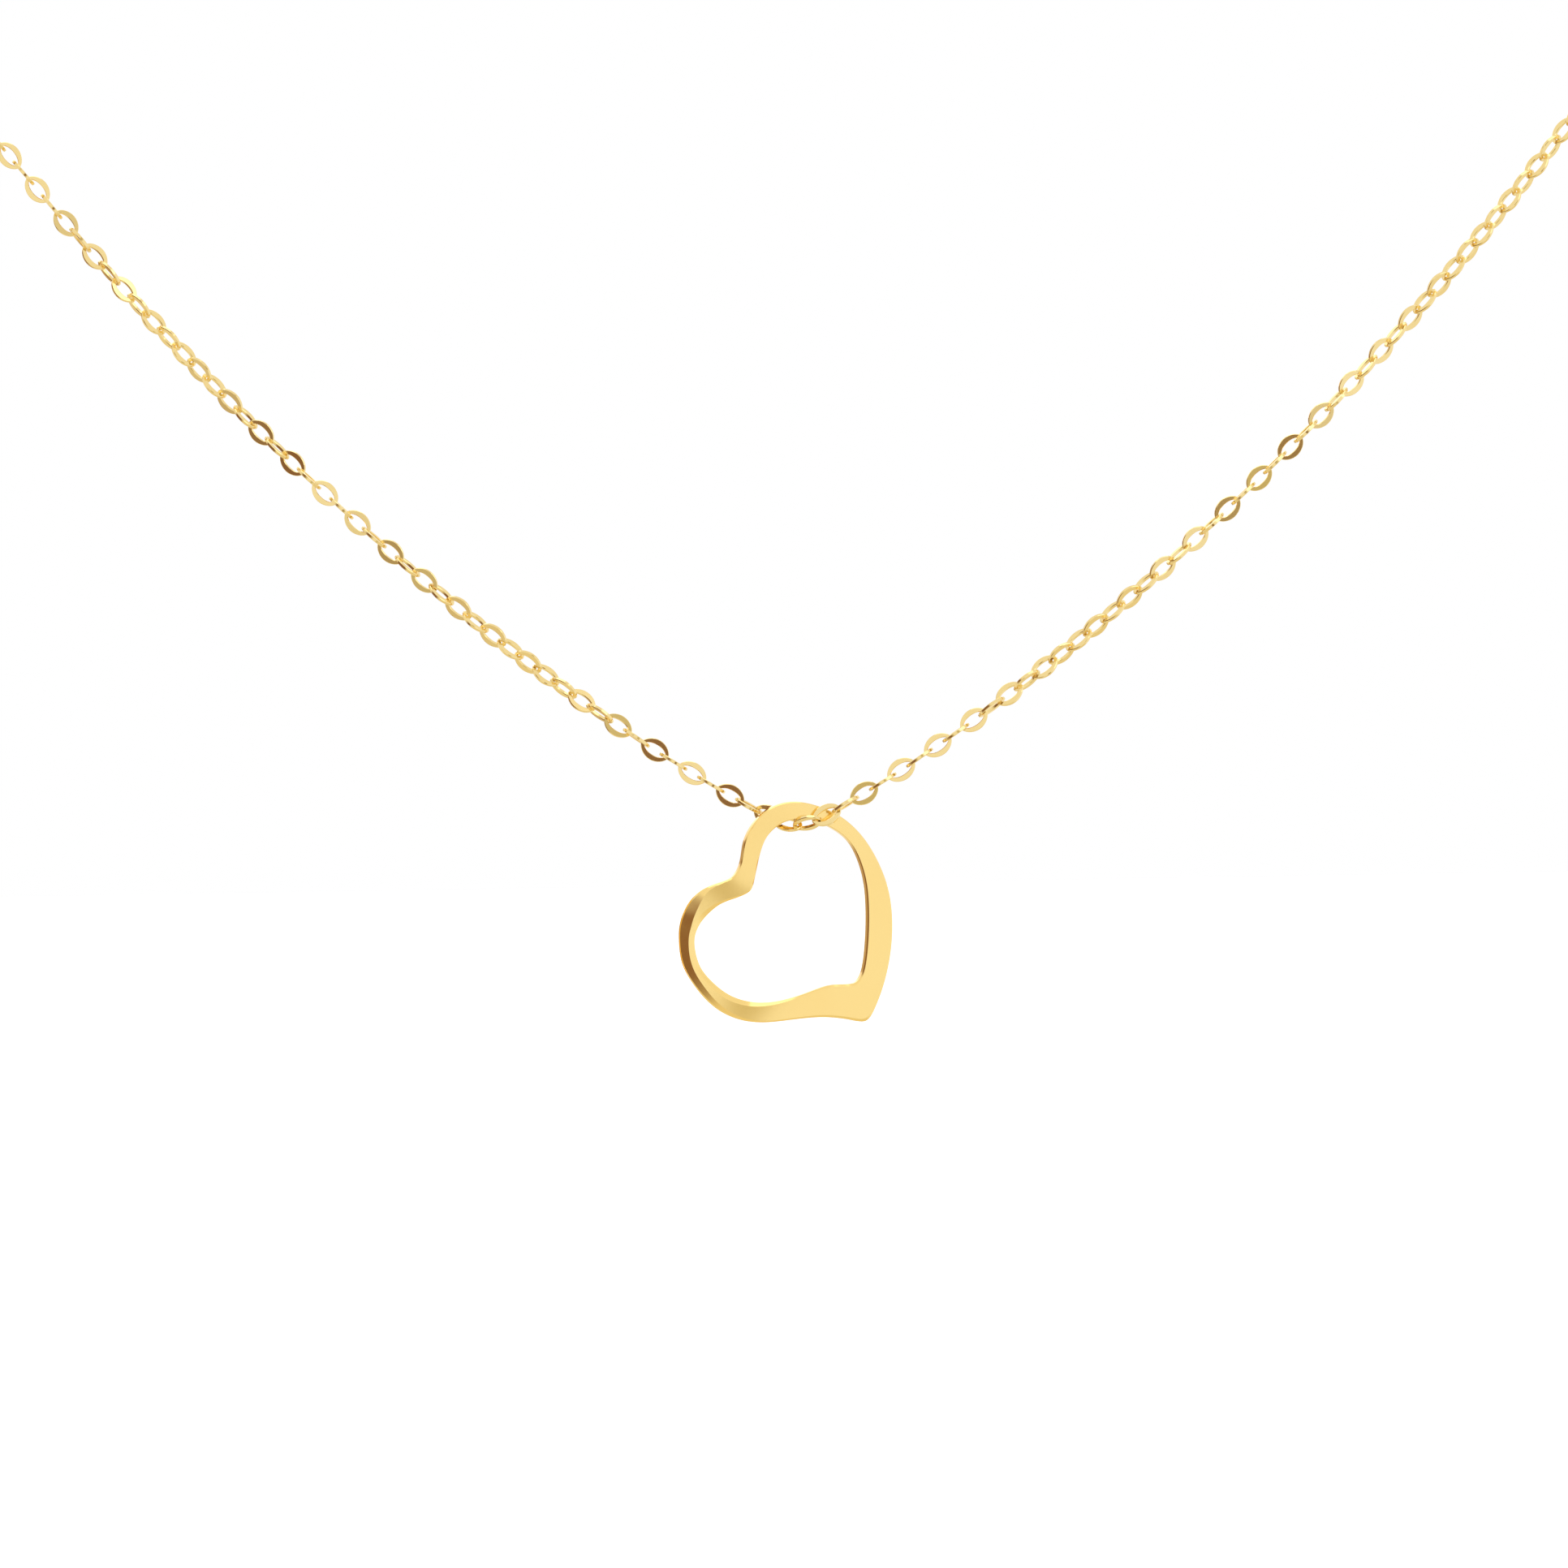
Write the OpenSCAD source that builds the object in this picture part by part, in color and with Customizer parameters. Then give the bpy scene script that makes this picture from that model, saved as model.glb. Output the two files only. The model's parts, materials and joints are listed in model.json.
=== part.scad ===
// Open heart pendant on a fine flat cable chain, with a spring ring clasp.
// Stored as it hangs on a neck: +X is the wearer's left, seen on the right from the front,
// +Y points to the back of the neck and +Z is up.
// The origin is the middle of the neck opening, level with the clasp.

/* [Chain] */
// Distance from one link's centre to the next
link_pitch = 1.5; // [1:0.05:3]
// Length of one link over its ends
link_length = 2.12; // [1.6:0.02:4]
// Width of one link
link_width = 1.5; // [1:0.05:3]
// Thickness of the flat link
link_thick = 0.22; // [0.14:0.02:0.6]
// Width of the metal at a link's two ends
link_end_band = 0.22; // [0.15:0.01:0.6]
// Width of the metal at a link's two sides
link_side_band = 0.365; // [0.15:0.005:0.6]
// Links on each side of the pendant
links_per_side = 150; // [100:2:200]
// Links on each side that hang free below the collar bone
links_free = 50; // [50:1:50]

/* [Hang] */
// Slope of the chain just beside the pendant
drop_slope = 0.554; // [0.3:0.002:1]
// Sag radius of the hanging chain
sag_radius = 100; // [60:5:400]
// How gently the V turns at the pendant
tip_radius = 1.3; // [0.5:0.1:4]
// How far the chain crosses from behind the heart to its front
cross_depth = 1.1; // [0:0.02:2]
// Half the distance over which it crosses
cross_reach = 2.2; // [1:0.1:4]

/* [Heart] */
// Thickness of the heart from front to back
heart_thick = 0.8; // [0.6:0.05:2]
// Chamfer along the heart's edges
heart_chamfer = 0.2; // [0.05:0.05:0.4]
// Turn of the heart about the vertical, its left side forward
heart_yaw = 14; // [0:1:30]
// Height of the heart's inner top edge above the chain's lowest point
heart_gap = 0.45; // [0.2:0.01:1]

/* [Clasp] */
// Radius of the clasp's tube ring, at the middle of the tube
ring_r = 2.1; // [1.5:0.1:4]
// Outer radius of the tube
tube_r = 0.6; // [0.4:0.05:1]
// Bore radius of the tube
bore_r = 0.44; // [0.3:0.02:0.8]
// Radius of the sliding bolt
bolt_r = 0.36; // [0.2:0.02:0.6]
// Travel of the bolt in degrees
bolt_travel = 46; // [20:1:50]
// Middle radius of the ring between chain and clasp eye
jump_r = 1; // [0.8:0.05:2]
// Wire radius of the two plain rings
wire_r = 0.2; // [0.1:0.02:0.3]
// Middle radius of the clasp eye
eye_r = 0.6; // [0.4:0.05:1]
// Wire radius of the clasp eye
eye_wire_r = 0.18; // [0.1:0.02:0.3]
// Middle radius of the ring that the clasp hooks
end_r = 1.3; // [1:0.05:2]

/* [Hidden] */
$fn = 48;
gold = [0.86, 0.68, 0.36];
gold_pale = [0.95, 0.80, 0.50];
steel = [0.70, 0.70, 0.72];

// Gap between two linked bands, half on each side of the point where they meet
play = link_length - link_pitch - 2 * link_end_band;

// The clasp's pieces along X, measured from the left end of the chain
jump_c = jump_r - wire_r - play / 2;
eye_c = jump_c + jump_r - wire_r + eye_r - eye_wire_r - 0.12;
ring_c = eye_c + eye_r + eye_wire_r - 0.25 + ring_r + tube_r;
end_c = ring_c + ring_r - tube_r - 0.15 + end_r - wire_r;
clasp_span = end_c + end_r - wire_r - play / 2;

// Roll of the link faces about the chain, by link number: a link lies flat where the sum is 0 or 180
roll_left = [[1, -40], [2, -22], [3, -9], [4, 0], [8, 0], [14.5, 45], [27, 90], [35.5, 45], [46, 0], [150, 0]];
roll_right = [[1, 40], [2, 22], [3, 9], [4, 0], [9, 0], [15.5, 45], [27, 90], [41.5, 45], [50, 37], [90, 0], [150, 0]];
function link_roll(side, k) = 90 * (k % 2) + lookup(k, side > 0 ? roll_right : roll_left);

// Direction of link k on the right, where side is 1, or on the left, where it is -1
function front_dir(side, s) = let (
    a = atan(drop_slope * s / sqrt(s * s + tip_radius * tip_radius) + s / sag_radius),
    u = s / cross_reach,
    dy = -side * cross_depth / cross_reach * (1 - u * u) * exp(-u * u / 2),
    h = sqrt(1 - dy * dy)
) [side * cos(a) * h, dy, sin(a) * h];
free_len = links_free * link_pitch;
side_len = links_per_side * link_pitch;
rise = atan(drop_slope + free_len / sag_radius);
function neck_dir(side, s, bend) = let (
    u = (s - free_len) / (side_len - free_len),
    head = 180 * pow(u, bend),
    el = rise * (1 - u) * (1 - u)
) [side * cos(el) * cos(head), cos(el) * sin(head), sin(el)];
function link_dir(side, k, bend) = let (s = (k - 0.5) * link_pitch)
    k <= links_free ? front_dir(side, s) : neck_dir(side, s, bend);

// Meeting points of the links from the pendant outwards, one more than there are links
function meets(side, bend) = [
    for (k = 0, p = [0, 0, 0]; k <= links_per_side;
        k = k + 1, p = k <= links_per_side ? p + link_pitch * link_dir(side, k, bend) : p) p
];
// The neck's bend is found so that both ends come to the clasp
function find_bend(lo, hi, n) = let (mid = (lo + hi) / 2)
    n == 0 ? mid
    : meets(1, mid)[links_per_side][0] > clasp_span / 2 ? find_bend(lo, mid, n - 1)
    : find_bend(mid, hi, n - 1);
neck_bend = find_bend(0.4, 1.6, 24);
path_right = meets(1, neck_bend);
path_left = meets(-1, neck_bend);
nape = path_right[links_per_side];
centre = [0, nape[1] / 2, nape[2]];

// Heart outline: pairs of outer and inner points as seen from the front, clockwise from the top
heart_pairs = [
    [[0, 1.6], [0, 0.4]], [[1.6, 1.2], [0.9, 0.4]], [[3.1, 0.4], [2.2, -0.2]], [[4.4, -0.9], [3.3, -1]],
    [[5.4, -2.6], [4, -2.2]], [[6.1, -4.6], [4.5, -4]], [[6.3, -6.7], [4.6, -6.2]],
    [[6.15, -8.8], [4.5, -8.2]], [[5.7, -10.8], [4.3, -9.7]], [[5.05, -12.5], [4, -10.5]],
    [[4.4, -13.5], [3.5, -10.9]], [[3.2, -13.3], [2.3, -10.9]], [[1.5, -13.1], [1.3, -11.1]],
    [[-0.3, -13.2], [-0.1, -11.6]], [[-2.4, -13.4], [-1.7, -12]], [[-4.1, -13.2], [-3.3, -12]],
    [[-5.7, -12.4], [-4.8, -11.5]], [[-7, -11], [-6, -10.5]], [[-7.9, -9.4], [-6.8, -9.4]],
    [[-8.1, -7.8], [-7.1, -7.9]], [[-8, -6.5], [-6.9, -7]], [[-7.4, -5.1], [-6.4, -6.2]],
    [[-6.4, -4.2], [-5.4, -5.3]], [[-5.3, -3.8], [-4.3, -4.9]], [[-4.4, -3.4], [-3.4, -4.5]],
    [[-3.9, -2.4], [-3.1, -3.9]], [[-3.7, -1.1], [-2.8, -2.5]], [[-3.1, 0.1], [-2.3, -0.9]],
    [[-2.1, 1.1], [-1.4, 0]], [[-1.1, 1.5], [-0.7, 0.3]]
];

// A smooth closed curve through the points, with n steps between each two
function smooth(p, n) = let (m = len(p)) [
    for (i = [0:m - 1], j = [0:n - 1]) let (
        t = j / n, a = p[(i + m - 1) % m], b = p[i], c = p[(i + 1) % m], d = p[(i + 2) % m]
    ) 0.5 * (2 * b + t * (c - a) + t * t * (2 * a - 5 * b + 4 * c - d) + t * t * t * (3 * b - a - 3 * c + d))
];

// Half of a link's outline at x, with n and m shaping its ends
function bulge(x, half_l, half_w, n, m) = half_w * pow(max(0, 1 - pow(abs(x) / half_l, n)), 1 / m);
function oval(half_l, half_w, n, m, steps) = [
    for (i = [0:steps - 1]) let (a = 360 * i / steps, x = half_l * cos(a))
        [x, (sin(a) < 0 ? -1 : 1) * bulge(x, half_l, half_w, n, m)]
];

// One flat link along X, its faces along Z
module link() {
    linear_extrude(height = link_thick, center = true)
        difference() {
            polygon(oval(link_length / 2, link_width / 2, 1.9, 1.7, 20));
            polygon(oval(link_length / 2 - link_end_band, link_width / 2 - link_side_band, 2.3, 2, 20));
        }
}

// Link k of one side in its place
module placed_link(side, k) {
    path = side > 0 ? path_right : path_left;
    t = (path[k] - path[k - 1]) / link_pitch;
    u = k <= links_free ? 0 : (k - 0.5 - links_free) / (links_per_side - links_free);
    turn = 180 * pow(u, neck_bend) - 90;
    n0 = [side * cos(turn), sin(turn), 0];
    up0 = cross(n0, t) * side;
    up = up0 / norm(up0);
    face = cross(t, up) * side;
    r = link_roll(side, k);
    w = cos(r) * up - sin(r) * face;
    n = cross(t, w);
    c = (path[k] + path[k - 1]) / 2 - centre;
    multmatrix([
        [t[0], w[0], n[0], c[0]], [t[1], w[1], n[1], c[1]], [t[2], w[2], n[2], c[2]], [0, 0, 0, 1]
    ]) link();
}

// Links a to b of one side
module run(side, a, b) {
    color(gold) for (k = [a:b]) placed_link(side, k);
}

// The open heart as a closed band of eight-sided sections, widened so that its turn keeps the outline
module heart() {
    h = heart_thick / 2;
    c = heart_chamfer;
    outer = smooth([for (p = heart_pairs) p[0]], 2);
    inner = smooth([for (p = heart_pairs) p[1]], 2);
    m = len(outer);
    pts = [
        for (i = [0:m - 1]) let (
            a = inner[i], b = outer[i], w = (b - a) / norm(b - a), d = norm(b - a)
        ) for (q = [[0, c - h], [c, -h], [d - c, -h], [d, c - h], [d, h - c], [d - c, h], [c, h], [0, h - c]])
            [(a[0] + w[0] * q[0]) / cos(heart_yaw), q[1], a[1] + w[1] * q[0]]
    ];
    faces = [
        for (i = [0:m - 1], j = [0:7]) let (i2 = (i + 1) % m, j2 = (j + 1) % 8)
            each [[8 * i + j, 8 * i + j2, 8 * i2 + j2], [8 * i + j, 8 * i2 + j2, 8 * i2 + j]]
    ];
    color(gold_pale)
        translate([0, 0, heart_gap - 0.4] - centre)
            rotate([0, 0, heart_yaw])
                polyhedron(points = pts, faces = faces, convexity = 6);
}

// Moves clasp pieces drawn about the left chain end into place, in the plane of X and Z
module at_clasp(x) {
    translate([x - clasp_span / 2, nape[1] / 2, 0]) rotate([90, 0, 0]) children();
}

// Part of a ring of round wire, from angle a through angle b, with an optional bore
module ring_arc(r, wire, a, b, bore = 0) {
    rotate([0, 0, a])
        rotate_extrude(angle = b - a, $fn = 96)
            translate([r, 0]) difference() {
                circle(r = wire);
                if (bore > 0) circle(r = bore);
            }
}

// Tube angles: the gap runs from gap_a to gap_b, counted from the end ring's side
gap_a = 24;
gap_b = 68;
slot_b = -52;
slot_a = slot_b - bolt_travel - 20;
tab_at = -58;

module clasp_tube() {
    color(gold) at_clasp(ring_c) difference() {
        ring_arc(ring_r, tube_r, gap_b, 360 + gap_a, bore_r);
        rotate([0, 0, slot_a])
            rotate_extrude(angle = slot_b - slot_a, $fn = 96)
                translate([ring_r, -0.19]) square([tube_r + 0.2, 0.38]);
    }
}

module clasp_bolt() {
    color(gold_pale) at_clasp(ring_c) ring_arc(ring_r, bolt_r, tab_at - 6, gap_b + 6);
}

module clasp_tab() {
    color(gold_pale) at_clasp(ring_c)
        rotate([0, 0, tab_at]) translate([ring_r + bolt_r - 0.02, 0, 0])
            rotate([0, 90, 0]) {
                cylinder(h = 0.5, r = 0.14, $fn = 24);
                translate([0, 0, 0.65]) sphere(r = 0.3, $fn = 24);
            }
}

// A short coil that lies at its pressed length in the tube behind the bolt
module clasp_spring() {
    turns = 8;
    steps = 12;
    m = turns * steps;
    wire = 0.05;
    coil = bore_r - 0.12;
    pts = [
        for (i = [0:m]) let (
            bend = -176 + 52 * i / m, a = 360 * i / steps,
            mid = (ring_r + coil * cos(a)) * [cos(bend), sin(bend), 0] + [0, 0, coil * sin(a)],
            out = cos(a) * [cos(bend), sin(bend), 0] + [0, 0, sin(a)], along = [-sin(bend), cos(bend), 0]
        ) for (j = [0:5]) mid + wire * (cos(60 * j) * out + sin(60 * j) * along)
    ];
    faces = concat(
        [[for (j = [0:5]) j]],
        [for (i = [0:m - 1], j = [0:5]) let (j2 = (j + 1) % 6)
            each [[6 * i + j, 6 * i + 6 + j2, 6 * i + j2], [6 * i + j, 6 * i + 6 + j, 6 * i + 6 + j2]]],
        [[for (j = [5:-1:0]) 6 * m + j]]
    );
    color(steel) at_clasp(ring_c) polyhedron(points = pts, faces = faces, convexity = 10);
}

module clasp_eye() {
    color(gold) difference() {
        at_clasp(eye_c) ring_arc(eye_r, eye_wire_r, 0, 360);
        at_clasp(ring_c) ring_arc(ring_r, tube_r, 150, 210);
    }
}

module clasp_jump_ring() {
    color(gold) at_clasp(jump_c) rotate([90, 0, 0]) ring_arc(jump_r, wire_r, 0, 360);
}

module end_ring() {
    color(gold) at_clasp(end_c) rotate([90, 0, 0]) ring_arc(end_r, wire_r, 0, 360);
}

heart();
run(-1, 1, 4);  // apex_links_left
run(1, 1, 4);  // apex_links_right
run(-1, 5, 13);  // free_links_left_1
run(-1, 14, 22);  // free_links_left_2
run(-1, 23, 31);  // free_links_left_3
run(-1, 32, 40);  // free_links_left_4
run(-1, 41, 50);  // free_links_left_5
run(1, 5, 13);  // free_links_right_1
run(1, 14, 22);  // free_links_right_2
run(1, 23, 31);  // free_links_right_3
run(1, 32, 40);  // free_links_right_4
run(1, 41, 50);  // free_links_right_5
run(-1, 51, 70);  // neck_links_left_1
run(-1, 71, 90);  // neck_links_left_2
run(-1, 91, 110);  // neck_links_left_3
run(-1, 111, 130);  // neck_links_left_4
run(-1, 131, 150);  // neck_links_left_5
run(1, 51, 70);  // neck_links_right_1
run(1, 71, 90);  // neck_links_right_2
run(1, 91, 110);  // neck_links_right_3
run(1, 111, 130);  // neck_links_right_4
run(1, 131, 150);  // neck_links_right_5
clasp_tube();
clasp_eye();
clasp_spring();
clasp_bolt();
clasp_tab();
clasp_jump_ring();
end_ring();
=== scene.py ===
import json
import math
import random

import bmesh
import bpy
import numpy as np
from mathutils import Matrix, Vector


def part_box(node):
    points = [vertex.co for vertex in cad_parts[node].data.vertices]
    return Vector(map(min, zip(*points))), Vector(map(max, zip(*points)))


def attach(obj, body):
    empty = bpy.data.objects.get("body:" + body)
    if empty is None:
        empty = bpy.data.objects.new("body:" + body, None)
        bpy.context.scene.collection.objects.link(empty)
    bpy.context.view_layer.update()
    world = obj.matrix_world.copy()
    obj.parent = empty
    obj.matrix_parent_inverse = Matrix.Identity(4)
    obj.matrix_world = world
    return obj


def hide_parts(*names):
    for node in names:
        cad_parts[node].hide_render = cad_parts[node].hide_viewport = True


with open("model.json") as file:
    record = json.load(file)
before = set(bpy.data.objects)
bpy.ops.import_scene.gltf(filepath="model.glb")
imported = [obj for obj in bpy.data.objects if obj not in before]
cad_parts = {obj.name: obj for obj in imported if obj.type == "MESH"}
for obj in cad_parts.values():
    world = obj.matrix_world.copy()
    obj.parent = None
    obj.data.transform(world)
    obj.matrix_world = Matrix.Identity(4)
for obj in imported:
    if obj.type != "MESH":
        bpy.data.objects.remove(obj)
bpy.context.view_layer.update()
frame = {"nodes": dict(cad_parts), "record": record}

# ---------------------------------------------------------------- camera
# A long lens looks straight at the front of the hanging V, a little above the pendant.
# The whole necklace hangs from the neck, so the lens is placed from the axis on which the heart swings.

MM = 0.001
heart_low, heart_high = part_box("heart")
joints = {joint["name"]: joint for joint in frame["record"]["behaviour"]["joints"]}
_, front_y, swing_height = joints["pendant_swing"]["pos_m"]
chain_low = swing_height - 1.15 * MM
lens_distance = 0.6
lens_aside = -0.88 * MM
lens_above_chain = 2.86 * MM
lens_roll = math.radians(0.93)
picture_half = 53.4 * MM

camera_data = bpy.data.cameras.new("camera")
camera_data.sensor_width = 36
camera_data.lens = 18 * lens_distance / picture_half
camera_data.clip_start = 0.01
camera_data.clip_end = 20
camera = bpy.data.objects.new("camera", camera_data)
camera.location = (lens_aside, front_y - lens_distance, chain_low + lens_above_chain)
camera.rotation_euler = (math.radians(90), lens_roll, 0)
bpy.context.scene.collection.objects.link(camera)
bpy.context.scene.camera = camera
bpy.context.scene.view_settings.view_transform = "Standard"

# ---------------------------------------------------------------- floor
# A plain white tabletop well below the hanging pendant, given a faint glow of its own so that it stays pure
# white.
# The shader and mesh helpers that every later section uses start here.


class Socket:
    """A shader output on which + - * build Math nodes."""

    def __init__(self, tree, out):
        self.tree = tree
        self.out = out

    def math(self, operation, *others):
        return self.node("ShaderNodeMath", {"operation": operation}, {0: self, **dict(enumerate(others, 1))})

    def node(self, kind, settings=None, inputs=None, output=0):
        made = self.tree.nodes.new(kind)
        for key, value in (settings or {}).items():
            if key == "stops":
                ramp = made.color_ramp
                for i, (position, colour) in enumerate(value):
                    stop = ramp.elements[i] if i < 2 else ramp.elements.new(position)
                    stop.position = position
                    stop.color = (*colour, 1)
            else:
                setattr(made, key, value)
        for key, value in (inputs or {}).items():
            if isinstance(value, Socket):
                self.tree.links.new(value.out, made.inputs[key])
            else:
                made.inputs[key].default_value = value
        return Socket(self.tree, made.outputs[output] if made.outputs else None)

    def __add__(self, other):
        return self.math("ADD", other)

    __radd__ = __add__

    def __sub__(self, other):
        return self.math("SUBTRACT", other)

    def __rsub__(self, other):
        return self.node("ShaderNodeMath", {"operation": "SUBTRACT"}, {0: other, 1: self})

    def __mul__(self, other):
        return self.math("MULTIPLY", other)

    __rmul__ = __mul__

    def smooth(self, low, high):
        """0 below low, 1 above high and an eased step between."""
        return self.node(
            "ShaderNodeMapRange",
            {"interpolation_type": "SMOOTHSTEP"},
            {"Value": self, "From Min": low, "From Max": high},
        )


def new_material(name):
    """An empty material, its Principled shader and its Object coordinates."""
    made = bpy.data.materials.new(name)
    made.use_nodes = True
    shader = made.node_tree.nodes["Principled BSDF"]
    start = Socket(made.node_tree, None)
    return made, shader, start.node("ShaderNodeTexCoord", output="Object")


def piece_from(bm, name, material):
    """Puts a finished mesh in the scene as an object of one material."""
    data = bpy.data.meshes.new(name)
    bm.to_mesh(data)
    bm.free()
    data.materials.append(material)
    made = bpy.data.objects.new(name, data)
    bpy.context.scene.collection.objects.link(made)
    return made


floor_drop = 60 * MM
floor_half = 6

floor_white, floor_shader, _ = new_material("floor_white")
floor_shader.inputs["Base Color"].default_value = (0.86, 0.86, 0.86, 1)
floor_shader.inputs["Roughness"].default_value = 0.6
floor_shader.inputs["Emission Color"].default_value = (1, 1, 1, 1)
floor_shader.inputs["Emission Strength"].default_value = 0.45
table = bmesh.new()
bmesh.ops.create_grid(table, x_segments=1, y_segments=1, size=floor_half)
bmesh.ops.translate(table, verts=table.verts, vec=(0, 0, heart_low[2] - floor_drop))
floor = piece_from(table, "floor", floor_white)
floor.visible_glossy = False

# ---------------------------------------------------------------- studio light
# A white room that the gold mirrors, bright on the right and above, with a dim brown corner at the left.
# Three soft panels add the sparkle on the edges. Seen directly, the room is plain white.

world = bpy.data.worlds.new("studio")
bpy.context.scene.world = world
world.use_nodes = True
sky = world.node_tree
sky.nodes.clear()
room = Socket(sky, None)
direction = room.node("ShaderNodeTexCoord", output="Generated")
split = sky.nodes.new("ShaderNodeSeparateXYZ")
sky.links.new(direction.out, split.inputs[0])
across, along, up = (Socket(sky, split.outputs[i]) for i in range(3))
turn = across.math("ARCTAN2", along * -1)
DEG = math.pi / 180
DIM = (0.26, 0.14, 0.08)

# The room's colours at eye level, by degrees from straight ahead of the heart, with its right positive
BELT = [
    (-180, (0.97, 0.9, 0.75)), (-164, (0.9, 0.8, 0.6)), (-157, (0.55, 0.38, 0.2)), (-138, (0.55, 0.38, 0.2)),
    (-115, (0.95, 0.9, 0.8)), (-84, (0.95, 0.9, 0.8)), (-72, DIM), (-28, DIM), (-19, (0.62, 0.55, 0.38)),
    (-11, (0.97, 0.95, 0.88)), (6, (0.97, 0.95, 0.88)), (12, (0.6, 0.53, 0.33)), (20.8, (0.6, 0.53, 0.33)),
    (23, (1, 1, 1)), (120, (1, 1, 1)), (180, (0.97, 0.9, 0.75)),
]
share_of_turn = turn * (0.5 / math.pi) + 0.5
stops = [(degrees / 360 + 0.5, colour) for degrees, colour in BELT]
belt = room.node("ShaderNodeValToRGB", {"stops": stops}, {0: share_of_turn})


def blend(factor, under, over):
    """The over colour where factor is 1, and the under colour where it is 0."""
    return room.node("ShaderNodeMix", {"data_type": "RGBA"}, {0: factor, 6: under, 7: over}, output=2)


# A dim patch low on the right, then a pale ceiling and a warm floor
low_spot = turn.smooth(6 * DEG, 9 * DEG) * (1 - turn.smooth(18 * DEG, 20 * DEG))
low_spot = low_spot * up.smooth(-0.36, -0.3) * (1 - up.smooth(-0.13, -0.08))
shade = blend(low_spot, belt, (*DIM, 1))
shade = blend(up.smooth(0.28, 0.5), shade, (0.95, 0.92, 0.84, 1))
shade = blend(1 - up.smooth(-0.7, -0.45), shade, (0.86, 0.78, 0.58, 1))
lit = room.node("ShaderNodeBackground", None, {"Color": shade, "Strength": 1.0})
plain = room.node("ShaderNodeBackground", None, {"Color": (1, 1, 1, 1), "Strength": 1.0})
seen = room.node("ShaderNodeLightPath", output="Is Camera Ray")
either = room.node("ShaderNodeMixShader", None, {0: seen, 1: lit, 2: plain})
room.node("ShaderNodeOutputWorld", None, {"Surface": either})


def panel(name, place, aim, size, power):
    """A square soft light at place that faces aim."""
    light = bpy.data.lights.new(name, "AREA")
    light.size = size
    light.energy = power
    made = bpy.data.objects.new(name, light)
    made.location = place
    made.rotation_euler = (Vector(aim) - Vector(place)).to_track_quat("-Z", "Y").to_euler()
    bpy.context.scene.collection.objects.link(made)


heart_mid = (heart_low[0] + heart_high[0]) / 2, front_y, (heart_low[2] + heart_high[2]) / 2
panel("panel_right", (0.55, -0.55, 0.25), heart_mid, 0.5, 0.5)
panel("panel_top", (0.0, -0.1, 0.7), heart_mid, 0.6, 0.7)
panel("panel_back", (-0.2, 0.7, 0.3), heart_mid, 0.6, 0.6)

# ---------------------------------------------------------------- chain of flat links
# 300 stamped and soldered flat oval links of yellow gold, each threaded through the next.
# They are polished flat on both faces, with softened edges.


def polished_gold(name, deep, pale, patch_scale, grain_scale, grain_detail):
    """Gold whose tint drifts in soft patches, with a fine polishing grain in its gloss and surface."""
    made, shader, place = new_material(name)
    noise = "ShaderNodeTexNoise"
    patches = place.node(noise, None, {"Vector": place, "Scale": patch_scale, "Detail": 2.0})
    ends = {"Factor": patches, 6: deep, 7: pale}
    tint = patches.node("ShaderNodeMix", {"data_type": "RGBA"}, ends, output=2)
    grain = place.node(noise, None, {"Vector": place, "Scale": grain_scale, "Detail": grain_detail})
    bump = grain.node("ShaderNodeBump", None, {"Strength": 0.02, "Distance": 0.00002, "Height": grain})
    shader.inputs["Metallic"].default_value = 1
    made.node_tree.links.new(tint.out, shader.inputs["Base Color"])
    made.node_tree.links.new((0.08 + grain * 0.08).out, shader.inputs["Roughness"])
    made.node_tree.links.new(bump.out, shader.inputs["Normal"])
    return made


gold = polished_gold("chain_gold", (0.91, 0.71, 0.32, 1), (0.96, 0.78, 0.4, 1), 700.0, 9000.0, 3.0)

LINK_CORNERS = 16
LINK_THICK = 0.22 * MM
LINK_CHAMFER = 0.035 * MM
# A subdivided ring of corners shrinks by this much
ring_shrink = 2 / 3 + math.cos(2 * math.pi / LINK_CORNERS) / 3


def oval(loop, half_length, half_width, pinch, swell):
    """Moves the corners of a unit circle onto an oval, pointed by pinch and filled out by swell."""
    for v in loop:
        x = v.co.x
        w = max(0.0, 1 - abs(x) ** pinch) ** (1 / swell)
        v.co.x = x * half_length / ring_shrink
        v.co.y = math.copysign(w, v.co.y) * half_width / ring_shrink


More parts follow.
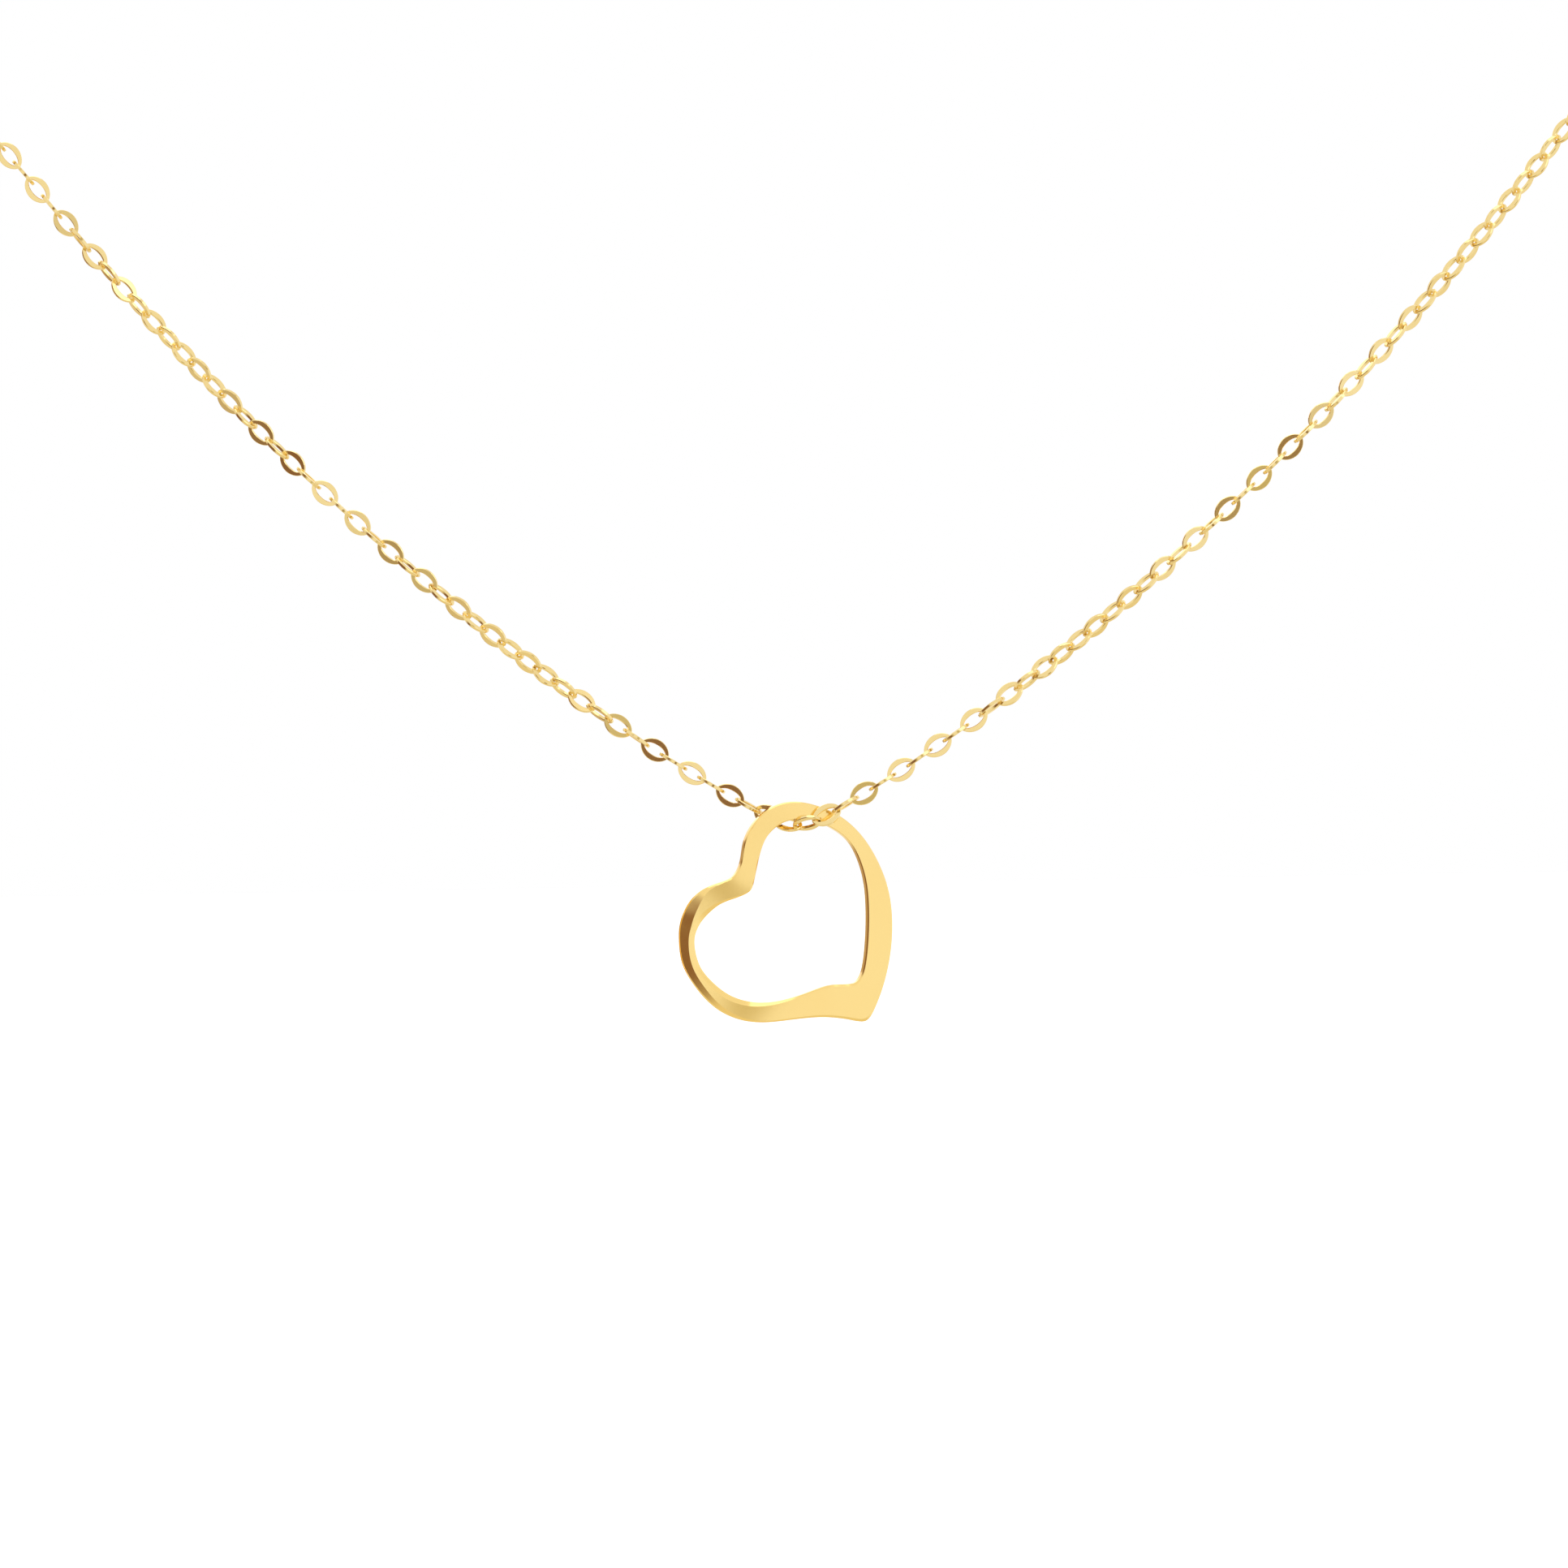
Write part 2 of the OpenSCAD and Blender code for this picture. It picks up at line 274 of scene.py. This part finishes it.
def flat_link():
    """One link along X with its faces along Z, as a rough ring with chamfered edges."""
    bm = bmesh.new()
    rim = bmesh.ops.create_circle(bm, segments=LINK_CORNERS, radius=1)["verts"]
    hole = bmesh.ops.create_circle(bm, segments=LINK_CORNERS, radius=1)["verts"]
    oval(rim, 1.06 * MM, 0.75 * MM, 1.9, 1.7)
    oval(hole, 0.81 * MM, 0.37 * MM, 2.2, 1.8)
    bmesh.ops.bridge_loops(bm, edges=bm.edges)
    bmesh.ops.translate(bm, verts=bm.verts, vec=(0, 0, -LINK_THICK / 2))
    raised = bmesh.ops.extrude_face_region(bm, geom=bm.faces[:])["geom"]
    upper = [part for part in raised if isinstance(part, bmesh.types.BMVert)]
    bmesh.ops.translate(bm, verts=upper, vec=(0, 0, LINK_THICK))
    bmesh.ops.recalc_face_normals(bm, faces=bm.faces)
    outline = [e for e in bm.edges if e.calc_face_angle() > 1]
    bmesh.ops.bevel(
        bm, geom=outline, offset=LINK_CHAMFER, affect="EDGES", segments=1, profile=0.5, material=-1,
    )
    crease = bm.edges.layers.float.new("crease_edge")
    for f in bm.faces:
        f.smooth = True
    for e in bm.edges:
        if e.calc_face_angle() > 0.5:
            e[crease] = 1
            e.smooth = False
    made = bpy.data.meshes.new("link_pattern")
    bm.to_mesh(made)
    bm.free()
    return made


def link_places(node):
    """Centre, along, across and face direction of each of a chain node's links, from left to right."""
    bm = bmesh.new()
    bm.from_mesh(frame["nodes"][node].data)
    bmesh.ops.remove_doubles(bm, verts=bm.verts, dist=1e-6)
    bm.verts.ensure_lookup_table()
    seen_verts = [False] * len(bm.verts)
    places = []
    for first in bm.verts:
        if seen_verts[first.index]:
            continue
        seen_verts[first.index] = True
        island = [first]
        for v in island:
            for e in v.link_edges:
                other = e.other_vert(v)
                if not seen_verts[other.index]:
                    seen_verts[other.index] = True
                    island.append(other)
        points = np.array([v.co for v in island])
        centre = points.mean(axis=0)
        _, axes = np.linalg.eigh(np.cov((points - centre).T))
        long_way, face = Vector(axes[:, 2]), Vector(axes[:, 0])
        if long_way.x < 0:
            long_way.negate()
        if face.y > 0:
            face.negate()
        places.append((Vector(centre), long_way, face.cross(long_way), face))
    bm.free()
    return sorted(places, key=lambda p: (round(p[0].x, 5), p[0].z))


# A few links hang askew: degrees that each nods forward and turns to its left, by its place in the run
ASKEW = {
    "apex_links_left": {0: (3, 0), 2: (-9, -4), 3: (6, 0)},
    "free_links_left_1": {5: (5, 6.5)},
    "free_links_left_2": {1: (-6, 8), 5: (-3, 5), 7: (-4, 6)},
    "free_links_left_3": {0: (-2, 4), 2: (0, -9), 6: (-3, 2)},
    "free_links_right_3": {4: (0, 6)},
}

bodies = frame["record"]["behaviour"]["bodies"]
link_mesh = flat_link()
wobble = random.Random(4)
for chain_node in sorted(name for name in frame["nodes"] if "links" in name):
    run = bmesh.new()
    places = link_places(chain_node)
    for order, (centre, long_way, wide_way, face) in enumerate(places):
        # The apex links and each run's end links hang true, clear of the heart and of the next run
        hangs_true = chain_node.startswith("apex") or order in (0, len(places) - 1)
        slack = 0.3 if hangs_true else 3
        lean = Matrix.Rotation(math.radians(wobble.uniform(-slack, slack)), 4, "X")
        tip = Matrix.Rotation(math.radians(wobble.uniform(-slack, slack) / 2), 4, "Y")
        nod, swing = ASKEW.get(chain_node, {}).get(order, (0, 0))
        askew = Matrix.Rotation(math.radians(nod), 4, "X") @ Matrix.Rotation(math.radians(swing), 4, "Z")
        turned = Matrix((long_way, wide_way, face)).transposed().to_4x4()
        one = link_mesh.copy()
        one.transform(Matrix.Translation(centre) @ askew @ turned @ lean @ tip)
        run.from_mesh(one)
        bpy.data.meshes.remove(one)
    piece = piece_from(run, "gold_" + chain_node, gold)
    round_off = piece.modifiers.new("round_off", "SUBSURF")
    round_off.levels = round_off.render_levels = 1
    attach(piece, next(body for body, members in bodies.items() if chain_node in members))
    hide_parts(chain_node)
bpy.data.meshes.remove(link_mesh)

# ---------------------------------------------------------------- open heart
# One cast band of yellow gold, flat and broad on the right and ground to a ridge on the left lobe.
# The chain passes through it, so it needs no bail.

# Outer and inner outline from the front, clockwise from the top, in millimetres from the chain's lowest point
HEART_OUTLINE = [
    ((0, 1.6), (0, 0.4)), ((1.6, 1.2), (0.9, 0.4)), ((3.1, 0.4), (2.2, -0.2)), ((4.4, -0.9), (3.3, -1)),
    ((5.4, -2.6), (4, -2.2)), ((6.1, -4.6), (4.5, -4)), ((6.3, -6.7), (4.6, -6.2)),
    ((6.15, -8.8), (4.5, -8.2)), ((5.7, -10.8), (4.3, -9.7)), ((5.05, -12.5), (4, -10.5)),
    ((4.4, -13.5), (3.5, -10.9)),
    ((3.2, -13.3), (2.3, -10.9)), ((1.5, -13.1), (1.3, -11.1)), ((-0.3, -13.2), (-0.1, -11.6)),
    ((-2.4, -13.4), (-1.7, -12)), ((-4.1, -13.2), (-3.3, -12)), ((-5.7, -12.4), (-4.8, -11.5)),
    ((-7, -11), (-6, -10.5)), ((-7.9, -9.4), (-6.8, -9.4)), ((-8.1, -7.8), (-7.1, -7.9)),
    ((-8, -6.5), (-6.9, -7)), ((-7.4, -5.1), (-6.4, -6.2)), ((-6.4, -4.2), (-5.4, -5.3)),
    ((-5.3, -3.8), (-4.3, -4.9)), ((-4.4, -3.4), (-3.4, -4.5)), ((-3.9, -2.4), (-3.1, -3.9)),
    ((-3.7, -1.1), (-2.8, -2.5)), ((-3.1, 0.1), (-2.3, -0.9)), ((-2.1, 1.1), (-1.4, 0)),
    ((-1.1, 1.5), (-0.7, 0.3)),
]
STATIONS = len(HEART_OUTLINE)
heart_half = 0.4
heart_yaw = math.radians(14)
heart_lift = 0.05

# Share of the band's width that the outer and the inner facet take, by station of the outline
OUTER_FACET = {
    0: 0.07, 14: 0.07, 15: 0.12, 16: 0.25, 17: 0.4, 18: 0.5, 19: 0.56, 20: 0.6, 21: 0.48, 22: 0.18, 23: 0.07,
}
INNER_FACET = {
    0: 0.05, 13: 0.06, 14: 0.14, 15: 0.24, 16: 0.3, 17: 0.32, 18: 0.33, 19: 0.33, 20: 0.32, 21: 0.24,
    22: 0.14, 23: 0.08, 24: 0.06,
}


def smooth_loop(points, steps):
    """A closed curve through the points, with this many steps from one to the next."""
    count = len(points)
    made = []
    for i in range(count):
        a, b, c, d = (Vector(points[(i + k) % count]) for k in (-1, 0, 1, 2))
        for j in range(steps):
            t = j / steps
            bend, twist = 2 * a - 5 * b + 4 * c - d, 3 * b - a - 3 * c + d
            made.append(0.5 * (2 * b + t * (c - a) + t * t * bend + t**3 * twist))
    return made


def facet_share(facet, station):
    """A facet's share at a station, with straight lines between its entries and back to the first."""
    return float(np.interp(station, [*facet, STATIONS], [*facet.values(), facet[0]]))


def heart_section(rim, hole, station):
    """Corners of the band's section: how far each one lies from hole to rim, and its depth."""
    width = (rim - hole).length
    out, within = facet_share(OUTER_FACET, station), facet_share(INNER_FACET, station)
    outer_drop, inner_drop = (out - 0.04) * width * 0.6, within * width * 0.6
    left = max(0.0, -(rim.x + hole.x) / 2)
    back = 0.0095 * left**2 if left < 4 else 0.152 + 0.076 * (left - 4)
    front = -heart_half + back
    return [
        (0, front + inner_drop), (within, front), (1 - out, front), (0.94, front + 0.88 * outer_drop),
        (1, front + outer_drop + 0.08),
        (1, heart_half - 0.1), (0.94, heart_half), (0.12, heart_half), (0, heart_half - 0.16),
    ]


def heart_band():
    """The whole band, as a grid wrapped round along the outline and round each section."""
    steps = 2
    outer = smooth_loop([rim for rim, _ in HEART_OUTLINE], steps)
    inner = smooth_loop([hole for _, hole in HEART_OUTLINE], steps)
    corners = [
        [(hole.lerp(rim, across_band), depth) for across_band, depth in heart_section(rim, hole, i / steps)]
        for i, (rim, hole) in enumerate(zip(outer, inner))
    ]
    around = len(corners)
    deep = len(corners[0])
    bm = bmesh.new()
    sheet = bmesh.ops.create_grid(bm, x_segments=around, y_segments=deep, size=1)["verts"]
    for n, v in enumerate(sheet):
        at, depth = corners[n % (around + 1) % around][n // (around + 1) % deep]
        v.co = (at.x * MM / math.cos(heart_yaw), depth * MM, at.y * MM)
    crease = bm.edges.layers.float.new("crease_edge")
    for n, v in enumerate(sheet):
        if n % (around + 1) < around:
            ridge = next(e for e in v.link_edges if e.other_vert(v) == sheet[n + 1])
            ridge[crease] = 1
            ridge.smooth = False
    bmesh.ops.remove_doubles(bm, verts=bm.verts, dist=1e-7)
    bmesh.ops.recalc_face_normals(bm, faces=bm.faces)
    for f in bm.faces:
        f.smooth = True
    hung = Matrix.Translation((0, front_y, chain_low + heart_lift * MM)) @ Matrix.Rotation(heart_yaw, 4, "Z")
    bmesh.ops.transform(bm, matrix=hung, verts=bm.verts)
    return bm


heart_gold = polished_gold("heart_gold", (0.99, 0.71, 0.26, 1), (1.0, 0.76, 0.31, 1), 160.0, 5200.0, 4.0)
heart = piece_from(heart_band(), "open_heart", heart_gold)
polish = heart.modifiers.new("polish", "SUBSURF")
polish.levels = polish.render_levels = 3
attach(heart, "pendant")
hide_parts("heart")

# ---------------------------------------------------------------- clasp tube, eye and rings
# A spring ring: a tube of yellow gold bent to a C, with its eye soldered on.
# A plain wire ring on each chain end holds it. All stay as drawn in the CAD, in the chain's gold.

clasp_gold = gold.copy()
clasp_gold.name = "clasp_gold"


def finish_cad(node, material):
    """Gives a CAD node its metal."""
    for slot in frame["nodes"][node].material_slots:
        slot.material = material


for name in ("clasp_tube", "clasp_eye", "clasp_jump_ring", "end_ring"):
    finish_cad(name, clasp_gold)

# ---------------------------------------------------------------- clasp spring
# A short coil of bright steel wire.
# It is dropped into the tube behind the bolt before the tube is closed.

steel, steel_shader, steel_place = new_material("spring_steel")
drawn = steel_place.node("ShaderNodeTexNoise", None, {"Vector": steel_place, "Scale": 6000.0, "Detail": 2.0})
steel_shader.inputs["Metallic"].default_value = 1
steel_tint = drawn.node(
    "ShaderNodeMix", {"data_type": "RGBA"},
    {"Factor": drawn, 6: (0.5, 0.5, 0.52, 1), 7: (0.68, 0.68, 0.7, 1)}, output=2,
)
steel.node_tree.links.new(steel_tint.out, steel_shader.inputs["Base Color"])
steel.node_tree.links.new((0.2 + drawn * 0.15).out, steel_shader.inputs["Roughness"])
finish_cad("clasp_spring", steel)

# ---------------------------------------------------------------- clasp bolt and thumb tab
# The bolt is a bent gold wire that slides in the tube. Its tab is a turned pin with a ball end,
# set in the bolt through the tube's slot.

finish_cad("clasp_bolt", clasp_gold)

PIN_FOOT = 2.44
PIN_ANGLE = math.radians(-58)
ball = 0.3
ball_height = 0.65
# Radius and height of the pin's turned outline: a stem, a small shoulder and the ball
PIN_PROFILE = [(0, 0), (0.14, 0), (0.14, 0.36), (0.17, 0.4)]
for degrees in range(-50, 91, 10):
    a = math.radians(degrees)
    PIN_PROFILE.append((ball * math.cos(a), ball_height + ball * math.sin(a)))

pin = bmesh.new()
spots = [pin.verts.new((r * MM, 0, z * MM)) for r, z in PIN_PROFILE]
side = [pin.edges.new(pair) for pair in zip(spots, spots[1:])]
bmesh.ops.spin(
    pin, geom=spots + side, cent=(0, 0, 0), axis=(0, 0, 1), angle=2 * math.pi, steps=24, use_merge=True,
)
bmesh.ops.remove_doubles(pin, verts=pin.verts, dist=1e-7)
bmesh.ops.recalc_face_normals(pin, faces=pin.faces)
for f in pin.faces:
    f.smooth = True
outward = Vector((math.cos(PIN_ANGLE), 0, math.sin(PIN_ANGLE)))
tube_low, tube_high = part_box("clasp_tube")
tube_mid = (Vector(tube_low) + Vector(tube_high)) / 2
upright = outward.to_track_quat("Z", "Y").to_matrix().to_4x4()
set_in = Matrix.Translation(tube_mid + outward * PIN_FOOT * MM) @ upright
bmesh.ops.transform(pin, matrix=set_in, verts=pin.verts)
thumb_tab = piece_from(pin, "thumb_tab", clasp_gold)
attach(thumb_tab, "bolt")
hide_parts("clasp_tab")
